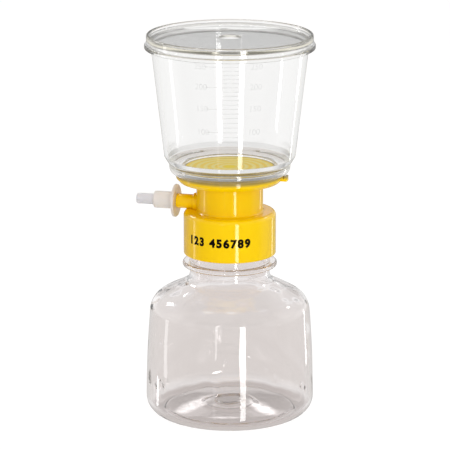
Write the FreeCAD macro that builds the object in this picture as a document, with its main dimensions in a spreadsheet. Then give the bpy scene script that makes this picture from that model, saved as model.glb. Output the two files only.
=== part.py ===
import FreeCAD, Part
import math
import os
import Sketcher

# A disposable bottle-top vacuum filtration unit, in millimetres, standing on its foot with +Z up.
# The origin is the centre of the foot plane. The vacuum port points along -X.
# Every turned or moulded piece is a closed outline (distance from its axis, height) revolved about
# that axis, and all outlines are bound to the spreadsheet below.

DIMENSIONS = (
    # Receiver bottle, blown in clear polystyrene.
    ("bottle_wall", 1.8, "wall of body, shoulder and base"),
    ("neck_wall", 2.2, "wall of the neck finish"),
    ("cup_lift", 5.2, "height of the small cup in the middle of the base"),
    ("cup_radius", 8.4, "radius of that cup at its mouth"),
    ("cup_mouth_lift", 3.7, "height of the cup's mouth"),
    ("cup_taper", 1.2, "how much narrower the cup is at its top"),
    ("step_taper", 0.5, "horizontal run of the step around the cup"),
    ("ring_radius", 14.6, "radius of the step around the cup"),
    ("ring_lift", 3.3, "height of the base inside the step"),
    ("ring_drop", 0.7, "height of the step"),
    ("push_up_radius", 34.6, "radius where the hollow base meets the foot"),
    ("push_up_lift", 0.9, "height of the hollow base there"),
    ("foot_inner_radius", 36.2, "inner radius of the flat foot ring"),
    ("heel_radius", 46.6, "radius of the wall line produced to the floor"),
    ("heel_round", 9.5, "rounding of the heel"),
    ("waist_height", 34.0, "height where the wall starts to lean in"),
    ("waist_radius", 45.9, "radius of the wall there"),
    ("waist_round", 400.0, "gentle bend of the wall there"),
    ("shoulder_height", 65.0, "height of the shoulder corner, before rounding"),
    ("shoulder_radius", 43.8, "radius of the shoulder corner, before rounding"),
    ("shoulder_round", 12.0, "rounding of the shoulder corner"),
    ("neck_base_height", 76.5, "height where shoulder and neck lines cross"),
    ("neck_base_round", 6.0, "sweep from shoulder into neck"),
    ("neck_radius", 22.0, "outer radius of the plain neck"),
    ("neck_ring_radius", 26.0, "radius of the ring below the thread"),
    ("neck_ring_height", 83.8, "underside of that ring"),
    ("neck_ring_thickness", 2.8, "thickness of that ring"),
    ("thread_root_radius", 21.7, "neck radius between the thread turns"),
    ("thread_root_start", 93.6, "height where the neck narrows to the thread root"),
    ("mouth_height", 111.4, "height of the bottle's rim"),
    ("mouth_round", 0.7, "rounding of the rim"),
    # Screw thread between bottle and collar.
    ("thread_pitch", 4.0, "lift in one turn"),
    ("thread_depth", 1.4, "height of a thread above its root"),
    ("thread_foot", 2.6, "axial width of a thread at its root"),
    ("thread_crest", 1.0, "axial width of a thread at its crest"),
    ("bottle_thread_start", 98.0, "height of the first turn on the bottle"),
    ("bottle_thread_rise", 7.0, "axial length of the bottle's thread"),
    ("collar_thread_start", 96.0, "height of the first turn in the collar"),
    ("collar_thread_rise", 6.0, "axial length of the collar's thread"),
    # Gasket between the rim and the collar.
    ("gasket_thickness", 1.5, "thickness of the gasket"),
    ("gasket_inner_radius", 18.9, "inner radius of the gasket"),
    ("gasket_outer_radius", 23.2, "outer radius of the gasket"),
    # Yellow filter collar: screw skirt, neck, vacuum port and membrane support in one moulding.
    ("skirt_radius", 25.4, "outer radius of the screw skirt"),
    ("skirt_wall", 1.7, "wall of the skirt"),
    ("skirt_bottom", 90.9, "height of the skirt's open edge"),
    ("skirt_top", 114.7, "height of the skirt's shoulder"),
    ("skirt_round", 2.4, "rounding of the skirt's shoulder"),
    ("collar_neck_radius", 18.3, "outer radius of the collar's neck"),
    ("collar_neck_wall", 1.9, "wall of the collar's neck"),
    ("disc_radius", 29.5, "outer radius of the support disc"),
    ("disc_bottom_radius", 27.4, "radius of the disc's lower edge"),
    ("disc_bottom", 131.5, "height of the disc's lower edge"),
    ("disc_bevel_top", 133.6, "height where the disc reaches its full radius"),
    ("disc_top", 139.3, "height of the land that carries the membrane"),
    ("disc_chamfer_width", 1.1, "width of the chamfer round the top of the disc"),
    ("disc_chamfer_height", 0.9, "height of that chamfer"),
    ("disc_rim_wall", 1.6, "wall of the disc's lower rim"),
    ("plate_bottom", 134.6, "underside of the support plate"),
    ("plate_top", 136.8, "floor of the collecting channels"),
    ("land_radius", 24.2, "inner radius of the land"),
    ("rib_top_gap", 0.1, "rib tops lie this far below the land"),
    ("ring_rib_width", 0.9, "width of a ring rib"),
    ("ring_rib_first", 6.0, "inner radius of the first ring rib"),
    ("ring_rib_step", 4.4, "spacing of the ring ribs"),
    ("radial_rib_count", 12.0, "number of radial ribs"),
    ("radial_rib_width", 0.8, "width of a radial rib"),
    ("drain_radius", 2.6, "radius of the central drain"),
    ("spout_radius", 4.2, "outer radius of the drip spout"),
    ("spout_bottom", 127.0, "height of the spout's open end"),
    ("gate_reach", 32.6, "distance from the axis to the end of the gate stub"),
    ("gate_width", 4.4, "width of the gate stub"),
    ("gate_bottom", 133.2, "underside of the gate stub"),
    ("gate_web_top", 134.5, "top of the thin web of the gate stub"),
    ("gate_top", 136.1, "top of the outer of the two small posts on it"),
    ("gate_post", 1.5, "size of that post along X"),
    # Vacuum port on the collar's neck.
    ("port_height", 118.2, "height of the port's axis"),
    ("port_radius", 4.0, "outer radius of the port"),
    ("port_bore", 2.8, "radius of the port's bore"),
    ("port_end", 29.9, "distance from the bottle's axis to the port's end"),
    ("boss_radius", 5.0, "radius of the boss where port and neck meet"),
    ("boss_end", 20.4, "distance from the bottle's axis to the end of the boss"),
    # Hose connector, a natural polypropylene moulding pushed into the port.
    ("spigot_radius", 2.75, "radius of the spigot inside the port"),
    ("spigot_end", 23.5, "distance from the bottle's axis to the spigot's inner end"),
    ("flange_radius", 9.1, "radius of the finger flange"),
    ("flange_end", 31.6, "distance from the bottle's axis to the flange's outer face"),
    ("barrel_radius", 4.7, "radius of the barrel"),
    ("barrel_end", 43.0, "distance from the bottle's axis to the barrel's outer end"),
    ("tip_radius", 2.95, "radius of the hose tip"),
    ("tip_end", 53.1, "distance from the bottle's axis to the end of the tip"),
    ("plug_radius", 2.0, "radius of the chamber that holds the wadding"),
    ("chamber_end", 41.0, "distance from the bottle's axis to the chamber's end"),
    ("tip_bore", 1.4, "radius of the bore through the tip"),
    ("plug_start", 30.0, "distance from the bottle's axis to the wadding's inner end"),
    # Membrane.
    ("membrane_radius", 25.0, "radius of the membrane disc"),
    ("membrane_thickness", 0.16, "thickness of the membrane"),
    # Funnel, moulded in clear polystyrene.
    ("funnel_wall", 1.9, "wall of the bowl"),
    ("window_radius", 24.6, "radius of the opening over the membrane"),
    ("window_edge_top", 139.95, "top of the thin edge round the opening over the membrane"),
    ("floor_corner_radius", 33.6, "inner radius of the foot, where the sloping floor meets the wall"),
    ("floor_corner_height", 143.1, "height at which the sloping floor meets the wall"),
    ("thin_edge_round", 0.15, "rounding of the thin edge round the opening"),
    ("ring_seat_radius", 25.3, "radius of the recess that holds the membrane's edge"),
    ("base_radius", 32.9, "outer radius of the funnel's base ring"),
    ("base_bottom", 136.4, "underside of the base ring"),
    ("base_round", 3.0, "rounding of the base ring's lower edge"),
    ("base_clearance", 0.05, "gap between base ring and disc"),
    ("step_bottom", 141.2, "height where the base ring starts to flare"),
    ("step_top", 145.8, "height where the flare meets the bowl wall"),
    ("bowl_radius", 35.9, "outer radius of the bowl at the top of the flare"),
    ("bowl_top_radius", 42.8, "outer radius of the bowl under its flange"),
    ("bowl_flange_bottom", 205.3, "underside of the bowl's flange"),
    ("bowl_flange_top", 207.5, "top of the bowl's flange"),
    ("bowl_flange_radius", 46.5, "radius of the bowl's flange"),
    ("lip_radius", 43.6, "outer radius of the bowl's lip"),
    ("lip_top", 209.6, "height of the bowl's lip"),
    # Lid, moulded in clear polystyrene.
    ("lid_radius", 45.4, "outer radius of the lid"),
    ("bead_width", 2.0, "width of the raised bead"),
    ("bead_top", 212.9, "height of the bead"),
    ("plate_bottom_height", 209.8, "underside of the lid's plate"),
    ("plate_thickness", 1.5, "thickness of the lid's plate"),
    ("lid_hole_radius", 6.0, "radius of the filling hole"),
    ("lid_skirt_inner", 43.9, "inner radius of the lid's skirt"),
    # Roundings shared by all mouldings.
    ("fine_round", 0.3, "rounding of a sharp moulded edge"),
    ("edge_round", 0.6, "rounding of a plain moulded edge"),
    ("soft_round", 1.0, "rounding of a soft inner corner"),
)


def add_dimensions(document):
    """Put every driving dimension in a sheet called dim, one aliased cell each."""
    sheet = document.addObject("Spreadsheet::Sheet", "dim")
    for row, (alias, value, meaning) in enumerate(DIMENSIONS, start=1):
        sheet.set("A%d" % row, alias)
        sheet.set("B%d" % row, str(value))
        sheet.set("C%d" % row, meaning)
        sheet.setAlias("B%d" % row, alias)
    document.recompute()


def origin_plane(body, role):
    """Return one of the body's own origin planes, such as XZ_Plane."""
    return next(feature for feature in body.Origin.OriginFeatures if feature.Role == role)


def add_sketch(body, name, role, shift=None):
    """Attach a new sketch to an origin plane; shift maps an offset axis (x, y, z) to an expression."""
    sketch = body.newObject("Sketcher::SketchObject", name)
    sketch.AttachmentSupport = (origin_plane(body, role), [""])
    sketch.MapMode = "FlatFace"
    for axis, expression in (shift or {}).items():
        sketch.setExpression("AttachmentOffset.Base." + axis, expression)
    sketch.Document.recompute()
    return sketch


def bind(sketch, constraint, name, expression):
    """Add a constraint and drive its value with an expression on the sheet."""
    index = sketch.addConstraint(constraint)
    sketch.renameConstraint(index, name)
    sketch.setExpression("Constraints." + name, expression)


def place_point(sketch, geometry, end, name, across, up):
    """Fix a point of the sketch at (across, up), two expressions; "0" puts it on an axis."""
    if across == "0":
        sketch.addConstraint(Sketcher.Constraint("PointOnObject", geometry, end, -2))
    else:
        value = float(sketch.evalExpression(across))
        bind(sketch, Sketcher.Constraint("DistanceX", -1, 1, geometry, end, value), name + "_x", across)
    if up == "0":
        sketch.addConstraint(Sketcher.Constraint("PointOnObject", geometry, end, -1))
    else:
        value = float(sketch.evalExpression(up))
        bind(sketch, Sketcher.Constraint("DistanceY", -1, 1, geometry, end, value), name + "_y", up)


def add_outline(sketch, corners):
    """Draw a closed outline. A corner is (across, up) or (across, up, rounding), all expressions."""
    count = len(corners)
    points = [FreeCAD.Vector(float(sketch.evalExpression(corner[0])),
                             float(sketch.evalExpression(corner[1])), 0) for corner in corners]
    arrive = []
    leave = []
    arcs = []
    for index, corner in enumerate(corners):
        point = points[index]
        if len(corner) == 2:
            arrive.append(point)
            leave.append(point)
            arcs.append(None)
            continue
        radius = float(sketch.evalExpression(corner[2]))
        back = (points[index - 1] - point).normalize()
        ahead = (points[(index + 1) % count] - point).normalize()
        half_angle = back.getAngle(ahead) / 2
        arrive.append(point + back * (radius / math.tan(half_angle)))
        leave.append(point + ahead * (radius / math.tan(half_angle)))
        centre = point + (back + ahead).normalize() * (radius / math.sin(half_angle))
        arcs.append((centre, radius, back.cross(ahead).z < 0))

    lines = [sketch.addGeometry(Part.LineSegment(leave[index], arrive[(index + 1) % count]), False)
             for index in range(count)]
    for index, corner in enumerate(corners):
        before = lines[index - 1]
        after = lines[index]
        name = "corner%d" % index
        if arcs[index] is None:
            sketch.addConstraint(Sketcher.Constraint("Coincident", before, 2, after, 1))
            place_point(sketch, after, 1, name, corner[0], corner[1])
            continue
        centre, radius, left_turn = arcs[index]
        first, last = (arrive[index], leave[index]) if left_turn else (leave[index], arrive[index])
        circle = Part.Circle(centre, FreeCAD.Vector(0, 0, 1), radius)
        arc = sketch.addGeometry(
            Part.ArcOfCircle(circle, circle.parameter(first), circle.parameter(last)), False)
        sketch.addConstraint(Sketcher.Constraint("Tangent", before, 2, arc, 1 if left_turn else 2))
        sketch.addConstraint(Sketcher.Constraint("Tangent", arc, 2 if left_turn else 1, after, 1))
        bind(sketch, Sketcher.Constraint("Radius", arc, radius), name + "_round", corner[2])
        corner_point = sketch.addGeometry(Part.Point(points[index]), True)
        place_point(sketch, corner_point, 1, name, corner[0], corner[1])
        sketch.addConstraint(Sketcher.Constraint("PointOnObject", corner_point, 1, before))
        sketch.addConstraint(Sketcher.Constraint("PointOnObject", corner_point, 1, after))


def revolve(body, name, corners, axis="V_Axis", shift=None, kind="Revolution"):
    """Revolve an outline on the XZ plane about one of its sketch's axes, adding or cutting."""
    sketch = add_sketch(body, name + "_outline", "XZ_Plane", shift)
    add_outline(sketch, corners)
    sketch.Document.recompute()
    feature = body.newObject("PartDesign::" + kind, name)
    feature.Profile = sketch
    feature.ReferenceAxis = (sketch, [axis])
    feature.Angle = 360
    sketch.Document.recompute()
    body.Tip = feature
    return feature


def new_body(document, label):
    """Start a PartDesign body whose label names its file."""
    body = document.addObject("PartDesign::Body", "body_" + label)
    body.Label = label
    return body


def add_thread(body, name, root, start, rise, outward):
    """Sweep one thread along a right-hand helix, standing out of or into the wall at radius root."""
    sign = "+" if outward else "-"
    bury = "-" if outward else "+"
    slope = "(dim.thread_foot - dim.thread_crest) / 2"
    sketch = add_sketch(body, name + "_section", "XZ_Plane")
    # The foot is buried in the wall, so that the flanks run into it cleanly.
    foot = "%s %s dim.fine_round" % (root, bury)
    add_outline(sketch, (
        (foot, "%s - dim.thread_foot / 2" % start),
        (root, "%s - dim.thread_foot / 2" % start),
        ("%s %s dim.thread_depth" % (root, sign), "%s - dim.thread_foot / 2 + %s" % (start, slope)),
        ("%s %s dim.thread_depth" % (root, sign), "%s + dim.thread_foot / 2 - %s" % (start, slope)),
        (root, "%s + dim.thread_foot / 2" % start),
        (foot, "%s + dim.thread_foot / 2" % start),
    ))
    body.Document.recompute()
    helix = body.newObject("PartDesign::AdditiveHelix", name)
    helix.Profile = sketch
    helix.ReferenceAxis = (sketch, ["V_Axis"])
    helix.Mode = "pitch-height-angle"
    helix.setExpression("Pitch", "dim.thread_pitch")
    helix.setExpression("Height", rise)
    helix.LeftHanded = False
    body.Document.recompute()
    body.Tip = helix
    return helix


def build_bottle(document):
    """Receiver bottle: one blown shell with a hollow base, a screw neck and a ring below the thread."""
    body = new_body(document, "bottle")
    slope = "((dim.neck_base_height - dim.shoulder_height) / (dim.shoulder_radius - dim.neck_radius))"
    drop = "dim.bottle_wall * sqrt(1 + %s ^ 2)" % slope
    neck_inner = "dim.thread_root_radius - dim.neck_wall"
    ring_top = "dim.neck_ring_height + dim.neck_ring_thickness"
    revolve(body, "bottle_shell", (
        ("0", "dim.cup_lift"),
        ("dim.cup_radius - dim.cup_taper", "dim.cup_lift", "dim.soft_round"),
        ("dim.cup_radius", "dim.cup_mouth_lift", "dim.fine_round"),
        ("dim.ring_radius", "dim.ring_lift", "dim.fine_round"),
        ("dim.ring_radius + dim.step_taper", "dim.ring_lift - dim.ring_drop", "dim.fine_round"),
        ("dim.push_up_radius", "dim.push_up_lift", "dim.edge_round"),
        ("dim.foot_inner_radius", "0", "dim.fine_round"),
        ("dim.heel_radius", "0", "dim.heel_round"),
        ("dim.waist_radius", "dim.waist_height", "dim.waist_round"),
        ("dim.shoulder_radius", "dim.shoulder_height", "dim.shoulder_round"),
        ("dim.neck_radius", "dim.neck_base_height", "dim.neck_base_round"),
        ("dim.neck_radius", "dim.neck_ring_height", "dim.fine_round"),
        ("dim.neck_ring_radius", "dim.neck_ring_height", "dim.edge_round"),
        ("dim.neck_ring_radius", ring_top, "dim.edge_round"),
        ("dim.neck_radius", ring_top, "dim.fine_round"),
        ("dim.neck_radius", "dim.thread_root_start - dim.soft_round"),
        ("dim.thread_root_radius", "dim.thread_root_start"),
        ("dim.thread_root_radius", "dim.mouth_height", "dim.mouth_round"),
        (neck_inner, "dim.mouth_height", "dim.mouth_round"),
        (neck_inner,
         "dim.neck_base_height + (dim.neck_radius - dim.thread_root_radius + dim.neck_wall) * %s - %s"
         % (slope, drop), "dim.neck_base_round + dim.bottle_wall"),
        ("dim.shoulder_radius - dim.bottle_wall",
         "dim.shoulder_height + dim.bottle_wall * %s - %s" % (slope, drop),
         "dim.shoulder_round - dim.bottle_wall"),
        ("dim.waist_radius - dim.bottle_wall", "dim.waist_height", "dim.waist_round"),
        ("dim.heel_radius - dim.bottle_wall", "dim.bottle_wall", "dim.heel_round - dim.bottle_wall"),
        ("dim.foot_inner_radius + dim.fine_round", "dim.bottle_wall", "dim.soft_round"),
        ("dim.push_up_radius - dim.fine_round", "dim.push_up_lift + dim.bottle_wall", "dim.soft_round"),
        ("dim.ring_radius + 2 * dim.step_taper", "dim.ring_lift - dim.ring_drop + dim.bottle_wall",
         "dim.fine_round"),
        ("dim.ring_radius + dim.fine_round", "dim.ring_lift + dim.bottle_wall", "dim.fine_round"),
        ("dim.cup_radius + dim.cup_taper", "dim.cup_mouth_lift + dim.bottle_wall", "dim.soft_round"),
        ("dim.cup_radius + dim.fine_round", "dim.cup_lift + dim.bottle_wall", "dim.fine_round"),
        ("0", "dim.cup_lift + dim.bottle_wall"),
    ))
    add_thread(body, "bottle_thread", "dim.thread_root_radius", "dim.bottle_thread_start",
               "dim.bottle_thread_rise", outward=True)
    return body


def build_gasket(document):
    """Flat ring that seals the bottle's rim against the collar."""
    body = new_body(document, "neck_gasket")
    top = "dim.mouth_height + dim.gasket_thickness"
    revolve(body, "gasket_ring", (
        ("dim.gasket_inner_radius", "dim.mouth_height", "dim.fine_round"),
        ("dim.gasket_outer_radius", "dim.mouth_height", "dim.fine_round"),
        ("dim.gasket_outer_radius", top, "dim.fine_round"),
        ("dim.gasket_inner_radius", top, "dim.fine_round"),
    ))
    return body


def add_support_ribs(body):
    """Ring ribs crossed by radial ribs, with drain slots between them, on the support plate."""
    top = "dim.disc_top - dim.rib_top_gap"
    for index in range(4):
        inner = "dim.ring_rib_first + %d * dim.ring_rib_step" % index
        revolve(body, "ring_rib_%d" % index, (
            (inner, "dim.plate_top - dim.fine_round"),
            (inner + " + dim.ring_rib_width", "dim.plate_top - dim.fine_round"),
            (inner + " + dim.ring_rib_width", top),
            (inner, top),
        ))
    height = top + " - dim.plate_top"
    slot_sketch = add_sketch(body, "drain_slot_outline", "XY_Plane", {"z": "dim.plate_top"})
    add_outline(slot_sketch, (
        ("dim.ring_rib_first - dim.soft_round", "-dim.radial_rib_width"),
        ("dim.land_radius - dim.soft_round", "-dim.radial_rib_width"),
        ("dim.land_radius - dim.soft_round", "dim.radial_rib_width"),
        ("dim.ring_rib_first - dim.soft_round", "dim.radial_rib_width"),
    ))
    body.Document.recompute()
    slot = body.newObject("PartDesign::Pocket", "drain_slot")
    slot.Profile = slot_sketch
    slot.setExpression("Length", height)
    slot.Reversed = True
    add_polar_pattern(body, "drain_slots", slot, slot_sketch)
    rib_sketch = add_sketch(body, "radial_rib_outline", "XY_Plane", {"z": "dim.plate_top"})
    rib_sketch.setExpression("AttachmentOffset.Rotation.Angle", "180 / dim.radial_rib_count")
    add_outline(rib_sketch, (
        ("dim.drain_radius + dim.soft_round", "-dim.radial_rib_width / 2"),
        ("dim.land_radius + dim.fine_round", "-dim.radial_rib_width / 2"),
        ("dim.land_radius + dim.fine_round", "dim.radial_rib_width / 2"),
        ("dim.drain_radius + dim.soft_round", "dim.radial_rib_width / 2"),
    ))
    body.Document.recompute()
    rib = body.newObject("PartDesign::Pad", "radial_rib")
    rib.Profile = rib_sketch
    rib.setExpression("Length", height)
    add_polar_pattern(body, "radial_ribs", rib, rib_sketch)


def add_polar_pattern(body, name, feature, sketch):
    """Repeat a feature around Z, once for each radial rib, and make the pattern the body's tip."""
    body.Document.recompute()
    pattern = body.newObject("PartDesign::PolarPattern", name)
    pattern.Originals = [feature]
    pattern.Axis = (sketch, ["N_Axis"])
    pattern.Angle = 360
    pattern.setExpression("Occurrences", "dim.radial_rib_count")
    body.Document.recompute()
    body.Tip = pattern


def add_gate_stub(body):
    """Moulding stub opposite the port: a thin web on the disc's edge with two small posts."""
    half = "dim.gate_width / 2"
    spans = (
        ("web", "dim.disc_bottom_radius", "dim.gate_reach", "dim.gate_web_top"),
        ("outer_post", "dim.gate_reach - dim.gate_post", "dim.gate_reach", "dim.gate_top"),
        ("inner_post", "dim.disc_radius - dim.fine_round", "dim.disc_radius + dim.soft_round",
         "dim.base_bottom - dim.fine_round"),
    )
    for name, inner, outer, top in spans:
        sketch = add_sketch(body, "gate_%s_outline" % name, "XY_Plane", {"z": "dim.gate_bottom"})
        add_outline(sketch, (
            (inner, "-" + half), (outer, "-" + half, "dim.edge_round"),
            (outer, half, "dim.edge_round"), (inner, half),
        ))
        body.Document.recompute()
        pad = body.newObject("PartDesign::Pad", "gate_" + name)
        pad.Profile = sketch
        pad.setExpression("Length", top + " - dim.gate_bottom")
        body.Document.recompute()
        body.Tip = pad


def build_collar(document):
    """Yellow filter collar: skirt with thread, hollow neck, ribbed membrane support and port."""
    body = new_body(document, "filter_collar")
    skirt_inner = "dim.skirt_radius - dim.skirt_wall"
    neck_inner = "dim.collar_neck_radius - dim.collar_neck_wall"
    seat = "dim.mouth_height + dim.gasket_thickness"
    rim_inner = "dim.disc_bottom_radius - dim.disc_rim_wall"
    revolve(body, "collar_shell", (
        ("dim.drain_radius", "dim.spout_bottom"),
        ("dim.spout_radius", "dim.spout_bottom", "dim.fine_round"),
        ("dim.spout_radius", "dim.plate_bottom", "dim.edge_round"),
        (neck_inner, "dim.plate_bottom", "dim.edge_round"),
        (neck_inner, seat),
        (skirt_inner, seat),
        (skirt_inner, "dim.skirt_bottom", "dim.fine_round"),
        ("dim.skirt_radius", "dim.skirt_bottom", "dim.edge_round"),
        ("dim.skirt_radius", "dim.skirt_top", "dim.skirt_round"),
        ("dim.collar_neck_radius", "dim.skirt_top", "dim.soft_round"),
        ("dim.collar_neck_radius", "dim.plate_bottom", "dim.soft_round"),
        (rim_inner, "dim.plate_bottom"),
        (rim_inner, "dim.disc_bottom", "dim.fine_round"),
        ("dim.disc_bottom_radius", "dim.disc_bottom", "dim.edge_round"),
        ("dim.disc_radius", "dim.disc_bevel_top", "dim.soft_round"),
        ("dim.disc_radius", "dim.disc_top - dim.disc_chamfer_height"),
        ("dim.disc_radius - dim.disc_chamfer_width", "dim.disc_top"),
        ("dim.land_radius", "dim.disc_top"),
        ("dim.land_radius", "dim.plate_top"),
        ("dim.drain_radius", "dim.plate_top"),
    ))
    add_support_ribs(body)
    add_gate_stub(body)
    port_axis = {"y": "dim.port_height"}
    root = "dim.soft_round - dim.collar_neck_radius"
    inside = "(dim.collar_neck_radius - dim.collar_neck_wall - dim.soft_round)"
    revolve(body, "vacuum_port", (
        (root, "0"),
        (root, "dim.boss_radius"),
        ("-dim.boss_end", "dim.boss_radius", "dim.edge_round"),
        ("-dim.boss_end", "dim.port_radius"),
        ("-dim.port_end", "dim.port_radius", "dim.fine_round"),
        ("-dim.port_end", "0"),
    ), axis="H_Axis", shift=port_axis)
    revolve(body, "port_bore_cut", (
        ("dim.soft_round - %s" % inside, "0"),
        ("dim.soft_round - %s" % inside, "dim.port_bore"),
        ("-dim.port_end - dim.soft_round", "dim.port_bore"),
        ("-dim.port_end - dim.soft_round", "0"),
    ), axis="H_Axis", shift=port_axis, kind="Groove")
    add_thread(body, "collar_thread", skirt_inner, "dim.collar_thread_start",
               "dim.collar_thread_rise", outward=False)
    return body


def build_connector(document):
    """Hose connector: spigot, finger flange, barrel and hose tip turned about the port's axis."""
    body = new_body(document, "hose_connector")
    revolve(body, "connector_shell", (
        ("-dim.spigot_end", "dim.plug_radius"),
        ("-dim.spigot_end", "dim.spigot_radius", "dim.fine_round"),
        ("-dim.port_end", "dim.spigot_radius"),
        ("-dim.port_end", "dim.flange_radius", "dim.edge_round"),
        ("-dim.flange_end", "dim.flange_radius", "dim.edge_round"),
        ("-dim.flange_end", "dim.barrel_radius", "dim.fine_round"),
        ("-dim.barrel_end", "dim.barrel_radius", "dim.soft_round"),
        ("-dim.barrel_end", "dim.tip_radius", "dim.fine_round"),
        ("-dim.tip_end", "dim.tip_radius", "dim.soft_round"),
        ("-dim.tip_end", "dim.tip_bore", "dim.fine_round"),
        ("-dim.chamber_end", "dim.tip_bore"),
        ("-dim.chamber_end", "dim.plug_radius"),
    ), axis="H_Axis", shift={"y": "dim.port_height"})
    return body


def build_plug(document):
    """Water-repellent wadding that fills the connector's chamber."""
    body = new_body(document, "port_plug")
    revolve(body, "wadding", (
        ("-dim.plug_start", "0"),
        ("-dim.plug_start", "dim.plug_radius", "dim.fine_round"),
        ("-dim.chamber_end", "dim.plug_radius"),
        ("-dim.chamber_end", "0"),
    ), axis="H_Axis", shift={"y": "dim.port_height"})
    return body


def build_membrane(document):
    """Filter membrane: a thin flat disc lying on the land and the ribs."""
    body = new_body(document, "membrane")
    top = "dim.disc_top + dim.membrane_thickness"
    revolve(body, "membrane_disc", (
        ("0", "dim.disc_top"),
        ("dim.membrane_radius", "dim.disc_top"),
        ("dim.membrane_radius", top),
        ("0", top),
    ))
    return body


def build_funnel(document):
    """Clear funnel: tapered bowl with a flanged mouth, a flared foot and a base ring."""
    body = new_body(document, "funnel")
    lean = "((dim.bowl_top_radius - dim.bowl_radius) / (dim.bowl_flange_bottom - dim.step_top))"
    base_inner = "dim.disc_radius + dim.base_clearance"
    floor_bottom = "dim.disc_top + dim.membrane_thickness"
    revolve(body, "funnel_shell", (
        ("dim.window_radius", floor_bottom, "dim.thin_edge_round"),
        ("dim.ring_seat_radius", floor_bottom),
        ("dim.ring_seat_radius", "dim.disc_top"),
        (base_inner + " - dim.disc_chamfer_width", "dim.disc_top"),
        (base_inner, "dim.disc_top - dim.disc_chamfer_height"),
        (base_inner, "dim.base_bottom", "dim.fine_round"),
        ("dim.base_radius", "dim.base_bottom", "dim.base_round"),
        ("dim.base_radius + 0.3", "dim.step_bottom", "dim.soft_round"),
        ("dim.bowl_radius", "dim.step_top", "dim.soft_round"),
        ("dim.bowl_top_radius", "dim.bowl_flange_bottom", "dim.edge_round"),
        ("dim.bowl_flange_radius", "dim.bowl_flange_bottom", "dim.edge_round"),
        ("dim.bowl_flange_radius", "dim.bowl_flange_top", "dim.edge_round"),
        ("dim.lip_radius", "dim.bowl_flange_top", "dim.fine_round"),
        ("dim.lip_radius", "dim.lip_top", "dim.edge_round"),
        ("dim.bowl_top_radius - dim.funnel_wall + (dim.lip_top - dim.bowl_flange_bottom) * " + lean,
         "dim.lip_top", "dim.edge_round"),
        ("dim.bowl_radius - dim.funnel_wall", "dim.step_top + dim.edge_round", "dim.soft_round"),
        ("dim.floor_corner_radius", "dim.floor_corner_height", "dim.edge_round"),
        ("dim.window_radius", "dim.window_edge_top", "dim.thin_edge_round"),
    ))
    return body


def build_lid(document):
    """Clear lid: recessed plate with a central hole, a raised bead and a short skirt."""
    body = new_body(document, "lid")
    plate_top = "dim.plate_bottom_height + dim.plate_thickness"
    bead_inner = "dim.lid_radius - dim.bead_width"
    revolve(body, "lid_shell", (
        ("dim.lid_hole_radius", "dim.plate_bottom_height", "dim.fine_round"),
        ("dim.lid_skirt_inner", "dim.plate_bottom_height", "dim.fine_round"),
        ("dim.lid_skirt_inner", "dim.bowl_flange_top", "dim.fine_round"),
        ("dim.lid_radius", "dim.bowl_flange_top", "dim.fine_round"),
        ("dim.lid_radius", "dim.bead_top", "dim.edge_round"),
        (bead_inner, "dim.bead_top", "dim.edge_round"),
        (bead_inner, plate_top, "dim.fine_round"),
        ("dim.lid_hole_radius", plate_top, "dim.fine_round"),
    ))
    return body


def check_document(document):
    """Stop if any feature failed to compute."""
    for item in document.Objects:
        if "Invalid" in item.State or "Error" in item.State:
            raise RuntimeError("%s is in state %s" % (item.Label, item.State))


def write_part(body):
    """Check one sub-part and write it to parts/."""
    shape = body.Shape
    if shape.isNull() or not shape.isValid() or len(shape.Solids) != 1:
        raise RuntimeError("%s has no single valid solid" % body.Label)
    shape.exportStep("parts/%s.step" % body.Label)
    box = shape.BoundBox
    print("%-15s volume %9.1f mm3, z %7.2f to %7.2f" % (body.Label, shape.Volume, box.ZMin, box.ZMax))


def main():
    """Build every sub-part in one document and write them."""
    document = FreeCAD.newDocument("vacuum_filtration_unit")
    add_dimensions(document)
    builders = (build_bottle, build_gasket, build_collar, build_connector, build_plug,
                build_membrane, build_funnel, build_lid)
    bodies = [builder(document) for builder in builders]
    document.recompute()
    check_document(document)
    os.makedirs("parts", exist_ok=True)
    for body in bodies:
        write_part(body)


main()
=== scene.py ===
"""Looks of a bottle-top vacuum filtration unit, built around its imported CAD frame.

Everything is in metres in the CAD frame: +Z up, origin in the middle of the foot, vacuum port along -X.
Sizes of the object are fields in millimetres, turned to metres by MM where a mesh is made.
"""
import logging
import math
from dataclasses import dataclass
from enum import Enum
from functools import partial
from typing import Any, Callable, ClassVar, Sequence

import bpy
from mathutils import Matrix, Vector, noise


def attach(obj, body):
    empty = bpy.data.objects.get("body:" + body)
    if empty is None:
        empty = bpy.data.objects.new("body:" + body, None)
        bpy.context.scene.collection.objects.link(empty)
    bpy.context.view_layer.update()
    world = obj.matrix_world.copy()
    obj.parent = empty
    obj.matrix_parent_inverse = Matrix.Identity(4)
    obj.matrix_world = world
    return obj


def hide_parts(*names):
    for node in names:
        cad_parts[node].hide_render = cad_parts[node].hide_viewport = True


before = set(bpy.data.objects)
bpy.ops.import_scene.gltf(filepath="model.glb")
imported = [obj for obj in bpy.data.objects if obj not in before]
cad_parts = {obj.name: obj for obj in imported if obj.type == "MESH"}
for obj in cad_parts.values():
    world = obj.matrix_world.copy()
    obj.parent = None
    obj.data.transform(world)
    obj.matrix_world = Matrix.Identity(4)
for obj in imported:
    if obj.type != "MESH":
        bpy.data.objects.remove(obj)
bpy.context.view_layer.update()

MM = 0.001
WHITE = "#FFFFFF"
SMOOTH = {"interpolation_type": "SMOOTHSTEP"}
COLOURS = {"data_type": "RGBA"}
Inputs = dict[str | int, Any] | Sequence[Any]
Adder = Callable[..., bpy.types.Node]
Span = tuple[float, float]
log = logging.getLogger("filtration_unit")


class Body(Enum):
    """The frame's rigid bodies that new pieces ride on."""

    RECEIVER = "receiver"
    HEAD = "filter_head"
    COVER = "cover"


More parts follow.
